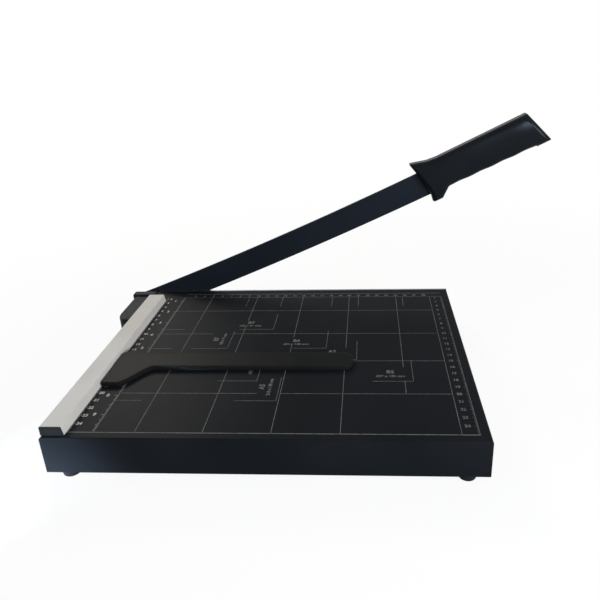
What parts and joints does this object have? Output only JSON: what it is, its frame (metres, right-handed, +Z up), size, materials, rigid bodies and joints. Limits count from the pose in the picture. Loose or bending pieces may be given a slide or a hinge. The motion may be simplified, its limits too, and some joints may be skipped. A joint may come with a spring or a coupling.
{
  "type": "lever paper cutter",
  "caption": "Lever guillotine paper cutter: folded steel board with printed measuring grid, side fence, sliding paper stop and a handled blade arm on a spring-loaded pivot.",
  "frame": {"origin": "centre of the part's box with the arm raised as pictured, on the desk under the feet", "axes": "+X along the cutting edge from the pivot towards the handle, +Y from the user towards the cutting edge, +Z up"},
  "size_m": [0.4478, 0.2728, 0.2227],
  "materials": {
    "powder_coated_steel": "fine-textured black powder coat on sheet steel",
    "blackened_blade": "satin black coated blade steel with a bare ground bevel",
    "cast_housing": "dark grey stove enamel on a die casting",
    "grey_fence": "warm light grey coated aluminium extrusion",
    "black_plastic": "moulded black ABS with a fine satin texture",
    "ground_steel": "surface-ground steel",
    "spring_steel": "oiled spring wire",
    "zinc_plated_steel": "bright zinc plate",
    "bronze": "sintered bronze",
    "rubber": "moulded black rubber"
  },
  "bodies": {
    "base": {"base_tray": "powder_coated_steel", "stiffener_front": "powder_coated_steel", "stiffener_rear": "powder_coated_steel", "blade_backing_bar": "zinc_plated_steel", "fixed_blade": "ground_steel", "fixed_blade_screws": "zinc_plated_steel", "fence": "grey_fence", "fence_cap_front": "black_plastic", "fence_cap_rear": "black_plastic", "fence_screws": "zinc_plated_steel", "pivot_housing": "cast_housing", "housing_screws": "zinc_plated_steel", "pivot_bush": "bronze", "thrust_washer": "zinc_plated_steel", "foot_front_left": "rubber", "foot_front_right": "rubber", "foot_rear_left": "rubber", "foot_rear_right": "rubber", "foot_screws": "zinc_plated_steel", "foot_nuts": "zinc_plated_steel"},
    "arm": {"blade_arm": "blackened_blade", "handle_inner": "black_plastic", "handle_outer": "black_plastic", "handle_screws": "zinc_plated_steel", "pivot_bolt": "zinc_plated_steel", "pivot_spring": "spring_steel", "nut_washer": "zinc_plated_steel", "lock_nut": "zinc_plated_steel"},
    "stop": {"paper_stop": "black_plastic", "stop_magnets": "ground_steel"}
  },
  "joints": [
    {"name": "arm_swing", "type": "hinge", "parent": "base", "child": "arm", "pos_m": [-0.20959, 0.12637, 0.0208], "axis": [0, -1, 0], "range_deg": [-20.1, 47]},
    {"name": "stop_slide", "type": "slide", "parent": "base", "child": "stop", "axis": [0, 1, 0], "range_m": [-0.06, 0.107]}
  ]
}
